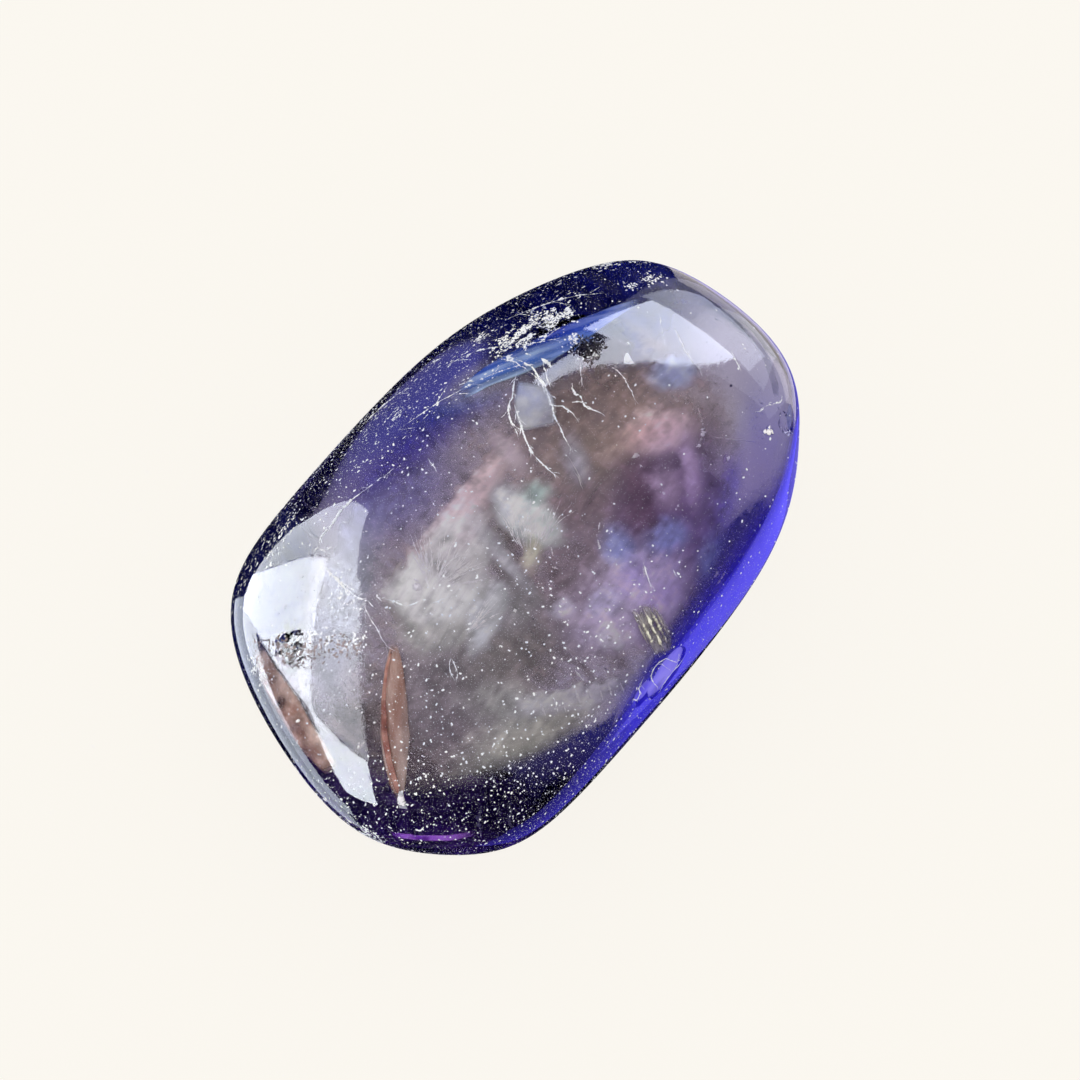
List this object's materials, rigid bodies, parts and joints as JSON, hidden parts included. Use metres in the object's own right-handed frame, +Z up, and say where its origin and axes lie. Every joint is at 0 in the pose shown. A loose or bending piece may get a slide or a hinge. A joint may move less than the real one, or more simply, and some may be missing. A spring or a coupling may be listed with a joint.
{
  "type": "tumbled gemstone pebble",
  "caption": "Tumbled, see-through violet-blue iolite pebble with a flat-topped crown, steep bevel, sloping end, rim chip and small flat spot to rest on.",
  "frame": {"origin": "centre of the bounding box in plan, on the surface that the stone rests on", "axes": "+X along the stone's length towards its wider upper end, +Z up through the crown, +Y towards the steep bevel"},
  "size_m": [0.029, 0.0184, 0.0118],
  "materials": {
    "iolite": "polished, see-through, with veils and fine cracks inside"
  },
  "bodies": {
    "root": {"iolite_pebble": "iolite"}
  },
  "joints": []
}
